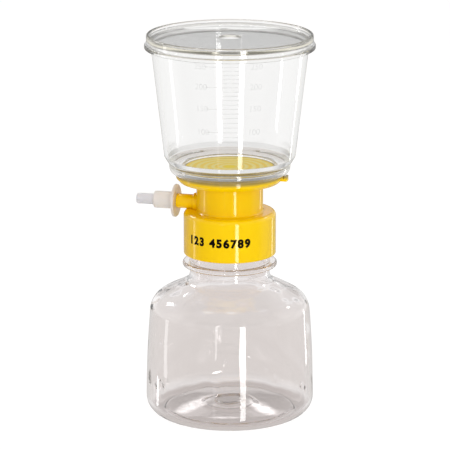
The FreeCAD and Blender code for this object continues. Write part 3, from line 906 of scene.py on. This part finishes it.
@dataclass
class Funnel(ClearPart):
    """The clear funnel: tapered bowl, flanged mouth, flared foot and base ring."""

    piece: str = "funnel_bowl"
    body: Body = Body.HEAD
    slot: Slot = Slot.FUNNEL
    node: str = "funnel"
    window_radius: float = 24.6
    window_round: float = 0.1
    seat_radius: float = 25.3
    floor_bottom: float = 139.50
    land_height: float = 139.34
    base_inner: float = 29.55
    chamfer_width: float = 1.1
    chamfer_height: float = 0.9
    crisp: float = 0.05
    base_bottom: float = 136.4
    base_radius: float = 32.9
    base_round: float = 3.0
    base_flare: float = 0.3
    step_bottom: float = 141.2
    step_top: float = 145.8
    bowl_radius: float = 35.9
    top_radius: float = 42.8
    flange_bottom: float = 205.3
    flange_top: float = 207.5
    flange_radius: float = 46.5
    lip_radius: float = 43.6
    lip_top: float = 209.6
    wall: float = 1.9
    foot_inner: float = 33.6
    foot_height: float = 143.1
    rim_foot: float = 1.6
    rim_foot_height: float = 140.05
    rim_width: float = 1.2
    rim_top: float = 140.9
    rim_round: float = 0.25

    def corners(self) -> list[Corner]:
        """Outline of the funnel, going round the solid with it on the left."""
        lean = (self.top_radius - self.bowl_radius) / (self.flange_bottom - self.step_top)
        mouth_inner = self.top_radius - self.wall + (self.lip_top - self.flange_bottom) * lean
        return [
            (self.window_radius, self.floor_bottom, self.window_round),
            (self.seat_radius, self.floor_bottom, self.crisp),
            (self.seat_radius, self.land_height, self.crisp),
            (self.base_inner - self.chamfer_width, self.land_height, self.crisp),
            (self.base_inner, self.land_height - self.chamfer_height, self.crisp),
            (self.base_inner, self.base_bottom, self.fine),
            (self.base_radius, self.base_bottom, self.base_round),
            (self.base_radius + self.base_flare, self.step_bottom, self.soft),
            (self.bowl_radius, self.step_top, self.soft),
            (self.top_radius, self.flange_bottom, self.edge),
            (self.flange_radius, self.flange_bottom, self.edge),
            (self.flange_radius, self.flange_top, self.edge),
            (self.lip_radius, self.flange_top, self.fine),
            (self.lip_radius, self.lip_top, self.edge),
            (mouth_inner, self.lip_top, self.edge),
            (self.bowl_radius - self.wall, self.step_top + self.edge, self.soft),
            (self.foot_inner, self.foot_height, self.edge),
            (self.window_radius + self.rim_foot, self.rim_foot_height, self.fine),
            (self.window_radius + self.rim_width, self.rim_top, self.rim_round),
            (self.window_radius, self.rim_top, self.rim_round),
        ]


@dataclass
class Lid(ClearPart):
    """The clear lid: recessed plate with a filling hole, a raised bead and a short skirt."""

    piece: str = "lid_shell"
    body: Body = Body.COVER
    slot: Slot = Slot.LID
    node: str = "lid"
    radius: float = 45.4
    bead_width: float = 2.0
    bead_top: float = 212.9
    bead_round: float = 0.95
    plate_bottom: float = 209.8
    plate_thickness: float = 1.5
    hole_radius: float = 6.0
    skirt_inner: float = 43.9
    skirt_bottom: float = 207.5
    finish: ClearStyrene = ClearStyrene("moulded_lid_polystyrene")

    def corners(self) -> list[Corner]:
        """Outline of the lid, going round the solid with it on the left."""
        plate_top = self.plate_bottom + self.plate_thickness
        bead_inner = self.radius - self.bead_width
        return [
            (self.hole_radius, self.plate_bottom, self.fine),
            (self.skirt_inner, self.plate_bottom, self.fine),
            (self.skirt_inner, self.skirt_bottom, self.fine),
            (self.radius, self.skirt_bottom, self.fine),
            (self.radius, self.bead_top, self.bead_round),
            (bead_inner, self.bead_top, self.bead_round),
            (bead_inner, plate_top, self.fine),
            (self.hole_radius, plate_top, self.fine),
        ]


@dataclass(frozen=True)
class Dimple:
    """A small dent that blowing leaves in the bottle's inner wall.

    Attributes:
        angle: of its middle, in degrees round +Z from +X.
        height: of its middle.
        width: from its middle to where it has all but gone.
        rise: by which the wall bulges in its middle.
        falloff: how fast it goes; at 2.5 a twelfth is left at its width.
    """

    angle: float
    height: float
    width: float
    rise: float
    falloff: float = 2.5

    def at(self, place: Vector) -> float:
        """Give the height of the dimple at a point of the wall."""
        turn = math.atan2(place.y, place.x) - math.radians(self.angle)
        along = math.hypot(place.x, place.y) * math.atan2(math.sin(turn), math.cos(turn))
        away = (along ** 2 + (place.z - self.height) ** 2) / self.width ** 2
        return self.rise * math.exp(-self.falloff * away)


@dataclass
class Bottle(ClearPart):
    """The blown receiver bottle: wavy wall, stepped hollow base, ringed neck and screw thread."""

    piece: str = "bottle_shell"
    body: Body = Body.RECEIVER
    slot: Slot = Slot.BOTTLE
    node: str = "bottle"
    closed: bool = False
    segments: int = 240
    straight_step: float = 2.0
    foot_radius: float = 46.6
    heel_round: float = 9.5
    waist_radius: float = 45.9
    waist_height: float = 34.0
    waist_round: float = 400.0
    shoulder_radius: float = 43.8
    shoulder_height: float = 65.0
    shoulder_round: float = 12.0
    inner_shoulder_round: float = 9.2
    neck_radius: float = 22.0
    neck_base: float = 76.5
    neck_sweep: float = 6.0
    ring_radius: float = 26.0
    ring_low: float = 83.8
    ring_high: float = 86.6
    ring_round: float = 1.25
    root_radius: float = 21.7
    root_start: float = 93.6
    root_slack: float = 0.5
    mouth_height: float = 111.4
    mouth_round: float = 0.7
    wall: float = 1.8
    neck_wall: float = 2.2
    under_base: Sequence[Corner] = (
        (0, 5.2, 0), (7.2, 5.2, 1.2), (8.4, 3.7, 0.3), (13.2, 3.4, 4.0), (16.3, 2.5, 4.0), (34.6, 0.9, 2.0),
        (36.2, 0, 0.8))
    inside_base: Sequence[Corner] = (
        (36.5, 1.8, 0.5), (34.3, 2.7, 4.0), (16.7, 4.3, 4.0), (13.6, 5.15, 4.0), (8.6, 5.4, 0.3),
        (7.7, 7.0, 0.3), (0, 7.0, 0))
    thread_start: float = 98.0
    thread_rise: float = 7.0
    thread_pitch: float = 4.0
    thread_depth: float = 1.4
    thread_foot: float = 2.6
    thread_crest: float = 1.0
    thread_run_out: float = 0.04
    thread_step: float = 0.3
    wave_length: float = 19.0
    wave_height: float = 0.15
    wave_low: float = 6.0
    wave_high: float = 68.0
    wave_fade: float = 18.0
    wave_stretch: float = 0.55
    wave_slant: float = 0.35
    ripple_share: float = 0.35
    ripples: float = 2.7
    outer_share: float = 0.75
    wall_zone: float = 5.0
    wall_slack: float = 0.4
    dent_length: float = 8.0
    dent_height: float = 0.25
    dent_low: float = 58.0
    dent_high: float = 79.0
    dent_fade: float = 8.0
    dent_clear: float = 1.0
    dimples: Sequence[Dimple] = (
        Dimple(-91.0, 50.0, 2.6, 0.45), Dimple(-87.0, 46.5, 2.2, 0.40), Dimple(-93.0, 45.5, 1.8, 0.30),
        Dimple(-84.0, 57.0, 1.6, 0.25), Dimple(-86.0, 54.0, 1.4, 0.20), Dimple(-77.5, 42.0, 1.5, 0.30),
        Dimple(-80.0, 39.5, 1.2, 0.20), Dimple(-134.0, 24.0, 3.2, 0.50), Dimple(-130.0, 21.5, 2.8, 0.45),
        Dimple(-139.0, 19.5, 2.6, 0.45), Dimple(-125.0, 26.5, 1.6, 0.25), Dimple(-15.0, 21.0, 2.2, 0.35),
        Dimple(-9.0, 18.5, 1.8, 0.30), Dimple(-62.0, 44.0, 2.4, 0.20), Dimple(-56.0, 40.0, 2.2, 0.18),
        Dimple(-49.0, 35.0, 2.0, 0.18), Dimple(-42.0, 30.0, 2.0, 0.20), Dimple(-134.0, 46.0, 2.4, 0.25),
    )
    floor_inner: float = 15.6
    floor_outer: float = 34.3
    floor_low: float = 1.5
    floor_high: float = 6.0
    floor_fade: float = 4.0
    floor_lobes: float = 2.3
    floor_wave_height: float = 0.05
    finish: ClearStyrene = ClearStyrene("blown_clear_polystyrene", tint="#FBF9F9", depth_tint="#DCC0A0",
                                        depth_density=2.5, wave_size=9.0, wave_height=0.045)

    def corners(self) -> list[Corner]:
        """Outline of the bottle from the axis under the base, round the outside, to the axis inside."""
        slope = (self.neck_base - self.shoulder_height) / (self.shoulder_radius - self.neck_radius)
        drop = self.wall * math.hypot(1, slope)
        neck_inner = self.root_radius - self.neck_wall
        return [
            *self.under_base,
            (self.foot_radius, 0, self.heel_round),
            (self.waist_radius, self.waist_height, self.waist_round),
            (self.shoulder_radius, self.shoulder_height, self.shoulder_round),
            (self.neck_radius, self.neck_base, self.neck_sweep),
            (self.neck_radius, self.ring_low, self.fine),
            (self.ring_radius, self.ring_low, self.ring_round),
            (self.ring_radius, self.ring_high, self.ring_round),
            (self.neck_radius, self.ring_high, self.fine),
            (self.neck_radius, self.root_start - self.soft, self.fine),
            (self.root_radius, self.root_start, self.fine),
            (self.root_radius, self.mouth_height, self.mouth_round),
            (neck_inner, self.mouth_height, self.mouth_round),
            (neck_inner, self.neck_base + (self.neck_radius - neck_inner) * slope - drop,
             self.neck_sweep + self.wall),
            (self.shoulder_radius - self.wall, self.shoulder_height + self.wall * slope - drop,
             self.inner_shoulder_round),
            (self.waist_radius - self.wall, self.waist_height, self.waist_round),
            (self.foot_radius - self.wall, self.wall, self.heel_round - self.wall),
            *self.inside_base,
        ]

    def on_thread(self, radius: float, height: float) -> bool:
        """Whether a point lies on the neck's outside, where the thread runs."""
        return height > self.root_start and radius > self.root_radius - self.root_slack

    def step(self, radius: float, height: float) -> float:
        """Longest piece of a straight run, which is short where the thread stands."""
        return self.thread_step if self.on_thread(radius, height) else self.straight_step

    def thread(self, place: Vector) -> float:
        """Height of the right-hand thread over the neck's root."""
        turn = math.atan2(place.y, place.x) / math.tau % 1
        turns = self.thread_rise / self.thread_pitch
        height = 0.0
        for lap in range(math.ceil(turns)):
            along = turn + lap
            away = abs(place.z - self.thread_start - self.thread_pitch * along)
            flank = (self.thread_foot / 2 - away) / ((self.thread_foot - self.thread_crest) / 2)
            ends = min(along, turns - along) / self.thread_run_out
            height = max(height, self.thread_depth * min(1.0, flank, ends))
        return height

    def waves(self, place: Vector) -> float:
        """Height of the slow waves that blowing leaves on the inner wall, which fade out at both ends."""
        fade = eased(min(place.z - self.wave_low, self.wave_high - place.z) / self.wave_fade)
        slanted = self.wave_stretch * place.z + self.wave_slant * place.x
        wave = Vector((place.x, place.y, slanted)) / self.wave_length
        height = noise.noise(wave) + self.ripple_share * noise.noise(wave * self.ripples)
        return fade * self.wave_height * height

    def relief(self, place: Vector) -> float:
        """Height by which a point of the bottle stands proud of its turned outline."""
        radius = math.hypot(place.x, place.y)
        if self.on_thread(radius, place.z):
            return self.thread(place)
        if self.dent_low < place.z < self.dent_high and radius > self.neck_radius + self.dent_clear:
            fade = eased(min(place.z - self.dent_low, self.dent_high - place.z) / self.dent_fade)
            return fade * self.dent_height * noise.noise(place / self.dent_length)
        if radius > self.shoulder_radius - self.wall_zone:
            taper = (self.shoulder_radius - self.foot_radius) * place.z / self.shoulder_height
            if self.foot_radius + taper + self.wall_slack - radius <= self.wall / 2:
                return self.waves(place) * self.outer_share
            return self.waves(place) + sum(dimple.at(place) for dimple in self.dimples)
        if self.floor_inner < radius < self.floor_outer and self.floor_low < place.z < self.floor_high:
            rim = min(1.0, (radius - self.floor_inner) / self.floor_fade,
                      (self.floor_outer - radius) / self.floor_fade)
            around = Vector((place.x, place.y, 0.0)).normalized()
            return rim * self.floor_wave_height * noise.noise(around * self.floor_lobes)
        return 0.0


@dataclass(frozen=True)
class WrappedWords:
    """Plain digits laid round a turned surface.

    Attributes:
        words: what they say.
        size: of the letters.
        angle: to their middle, in degrees round +Z from +X.
        height: of their foot.
        radius_at: radius of the surface at a height.
        weight: how far each stroke is thickened on either side, as a share of the size.
        lift: thickness of the layer.
        spacing: between letters, where 1 is normal.
    """

    words: str
    size: float
    angle: float
    height: float
    radius_at: Callable[[float], float]
    weight: float = 0.0
    lift: float = 0.05
    spacing: float = 1.0

    def piece(self, name: str) -> bpy.types.Object:
        """Make the digits as a plain mesh on the surface."""
        curve = bpy.data.curves.new(name, "FONT")
        curve.body = self.words
        curve.align_x = "CENTER"
        curve.size = self.size
        curve.bevel_depth = self.weight * self.size
        curve.bevel_resolution = 0
        curve.extrude = self.lift / 2
        curve.space_character = self.spacing
        flat = bpy.data.objects.new(name + "_flat", curve)
        mesh = bpy.data.meshes.new_from_object(flat)
        mesh.name = name
        flatten = self.lift / (self.lift + 2 * curve.bevel_depth)
        for vertex in mesh.vertices:
            along, up, out = vertex.co
            radius = self.radius_at(self.height + up)
            turn = math.radians(self.angle) + along / radius
            reach = radius + self.lift / 2 + out * flatten
            vertex.co = Vector((reach * math.cos(turn), reach * math.sin(turn), self.height + up)) * MM
        bpy.data.objects.remove(flat)
        return set_out(name, mesh)


@dataclass
class Graduation:
    """The funnel's volume scale: moulded arcs at the height of each volume, and plain numbers.

    The bowl is part of a cone, so the cube of its radius grows evenly with the volume, from one known mark.
    Volumes are in millilitres, and the arcs' angles in degrees from the front.
    """

    marks: int = 21
    first_volume: float = 50.0
    volume_step: float = 10.0
    marks_per_long: int = 5
    known_volume: float = 100.0
    known_height: float = 166.6
    known_radius: float = 36.34
    cubic_mm: float = 1000.0
    volume_scale: float = 1.1216
    lean: float = 0.11597
    wall: float = 1.9
    front: float = -75.0
    long_arc: Span = (-19.0, 6.0)
    short_arc: Span = (-5.0, 8.0)
    arc_points: int = 14
    bar: float = 0.34
    number_size: float = 4.6
    number_drop: float = 0.35
    number_columns: Sequence[float] = (-22.0, 19.5)
    numbered: Sequence[int] = (100, 150, 200, 250)
    finish: MilkySkin = MilkySkin("moulded_graduation", "#8F8D8A", 0.07, mottle=0.025)

    @property
    def apex(self) -> float:
        """Height of the cone's point."""
        return self.known_height - self.known_radius / self.lean

    def cube(self, volume: float) -> float:
        """Cube of the cone's radius at the surface of a volume."""
        growth = 3 * self.cubic_mm * self.volume_scale * self.lean / math.pi
        return self.known_radius ** 3 + (volume - self.known_volume) * growth

    def outer_radius(self, height: float) -> float:
        """Radius of the bowl's outer skin at a height."""
        return self.wall + (height - self.apex) * self.lean

    def sizes(self, long: bool, arc: Span, material: bpy.types.Material) -> dict[str, Any]:
        """Give the rule's inputs, in metres, for the long arcs or for the short ones between them."""
        cube_step = self.cube(self.first_volume + self.volume_step) - self.cube(self.first_volume)
        return {
            "Marks": self.marks, "First Cube": self.cube(self.first_volume) * MM ** 3,
            "Cube Step": cube_step * MM ** 3, "Apex": self.apex * MM, "Lean": self.lean,
            "Wall": (self.wall + self.bar / 2) * MM, "Arc Radius": self.known_radius * MM,
            "Every": self.marks_per_long, "Long": long, "Start Angle": math.radians(self.front + arc[0]),
            "Sweep Angle": math.radians(arc[1] - arc[0]), "Bar": self.bar * MM, "Material": material,
        }

    def rule(self, sizes: dict[str, Any]) -> bpy.types.NodeTree:
        """Build the rule: one arc per volume, at the height and radius the cone gives it.

        Args:
            sizes: input name to a value of its kind.

        Returns:
            The geometry tree.
        """
        tree = bpy.data.node_groups.new("graduation_arcs", "GeometryNodeTree")
        tree.interface.new_socket("Geometry", in_out="OUTPUT", socket_type="NodeSocketGeometry")
        for name, value in sizes.items():
            kind = type(value).__name__.capitalize()
            tree.interface.new_socket(name, in_out="INPUT", socket_type="NodeSocket" + kind)
        add = partial(add_node, tree)
        given = add("NodeGroupInput").outputs
        index = add("GeometryNodeInputIndex")
        line = add("GeometryNodeMeshLine", {"Count": given["Marks"], "Offset": (0.0, 0.0, 0.0)})
        cube = add("Math", [index, given["Cube Step"], given["First Cube"]], operation="MULTIPLY_ADD")
        radius = add("Math", [cube, 1 / 3], operation="POWER")
        rise = add("Math", [radius, given["Lean"]], operation="DIVIDE")
        height = add("Math", [rise, given["Apex"]], operation="ADD")
        placed = add("GeometryNodeSetPosition",
                     {"Geometry": line, "Position": add("CombineXYZ", {"Z": height})})
        beat = add("FunctionNodeIntegerMath", [index, given["Every"]], operation="MODULO")
        on_beat = add("FunctionNodeCompare", [beat, 0], data_type="INT", operation="EQUAL")
        chosen = add("FunctionNodeBooleanMath", [on_beat, given["Long"]], operation="XNOR")
        outer, arc_outer = (add("Math", [inner, given["Wall"]], operation="ADD")
                            for inner in (radius, given["Arc Radius"]))
        arc = add("GeometryNodeCurveArc", {
            "Resolution": self.arc_points, "Radius": arc_outer, "Start Angle": given["Start Angle"],
            "Sweep Angle": given["Sweep Angle"]})
        section = add("GeometryNodeCurvePrimitiveQuadrilateral",
                      {"Width": given["Bar"], "Height": given["Bar"]})
        bar = add("GeometryNodeCurveToMesh", {"Curve": arc, "Profile Curve": section, "Fill Caps": True})
        spread = add("Math", [outer, arc_outer], operation="DIVIDE")
        scale = add("CombineXYZ", {"X": spread, "Y": spread, "Z": 1.0})
        many = add("GeometryNodeInstanceOnPoints",
                   {"Points": placed, "Selection": chosen, "Instance": bar, "Scale": scale})
        real = add("GeometryNodeRealizeInstances", {0: many})
        dressed = add("GeometryNodeSetMaterial", {"Geometry": real, "Material": given["Material"]})
        add("NodeGroupOutput", {0: dressed})
        return tree

    def build(self) -> list[bpy.types.Object]:
        """Make both sets of arcs and the numbers."""
        material = self.finish.material()
        sets = {"funnel_long_marks": self.sizes(True, self.long_arc, material),
                "funnel_short_marks": self.sizes(False, self.short_arc, material)}
        tree = self.rule(sets["funnel_long_marks"])
        pieces = [grown_piece(name, tree, sizes) for name, sizes in sets.items()]
        for i, column in enumerate(self.number_columns):
            for volume in self.numbered:
                height = self.apex + self.cube(volume) ** (1 / 3) / self.lean
                words = WrappedWords(str(volume), self.number_size, self.front + column,
                                     height - self.number_drop * self.number_size, self.outer_radius)
                pieces.append(words.piece("funnel_number_%d_%d" % (volume, i)))
                dress(pieces[-1], material)
        return [hand_over(piece, Body.HEAD) for piece in pieces]


@dataclass
class SkirtPrint:
    """A row of plain digits pad-printed in black round the collar's skirt."""

    words: str = "123 456789"
    size: float = 6.2
    weight: float = 0.058
    spacing: float = 1.27
    angle: float = -91.2
    height: float = 99.9
    skirt_radius: float = 25.4
    finish: PrintInk = PrintInk()

    def build(self) -> list[bpy.types.Object]:
        """Make the row of digits."""
        words = WrappedWords(self.words, self.size, self.angle, self.height, lambda height: self.skirt_radius,
                             self.weight, spacing=self.spacing)
        row = words.piece("skirt_digits")
        dress(row, self.finish.material())
        return [hand_over(row, Body.HEAD)]


@dataclass
class CarriedParts:
    """CAD parts that keep their own shape and get a finish."""

    collar: Finish = MouldedAbs()
    connector: Finish = NaturalPolypropylene()
    plug: Finish = SoftWhite("fibre_wadding", "#F4F3EF", "#D9D7D0", 0.9, 0.5, 0.15)
    gasket: Finish = SoftWhite("moulded_silicone", "#ECEBE8", "#DFDEDA", 0.45, 4.0, 0.01)
    membrane: Finish = WettedMembrane()

    def build(self) -> list[bpy.types.Object]:
        """Dress the CAD parts."""
        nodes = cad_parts
        finishes = {"filter_collar": self.collar, "hose_connector": self.connector, "port_plug": self.plug,
                    "neck_gasket": self.gasket, "membrane": self.membrane}
        for name, finish in finishes.items():
            dress(nodes[name], finish.material())
        return [nodes[name] for name in finishes]


def main() -> None:
    """Build the studio and the unit, in order."""
    logging.basicConfig(level=logging.INFO, format="%(name)s: %(message)s")
    Studio().build()
    for part in (Bottle(), Funnel(), Graduation(), Lid(), CarriedParts(), SkirtPrint()):
        for piece in part.build():
            log.info("%s: %d faces", piece.name, len(piece.data.polygons))


if __name__ == "__main__":
    main()
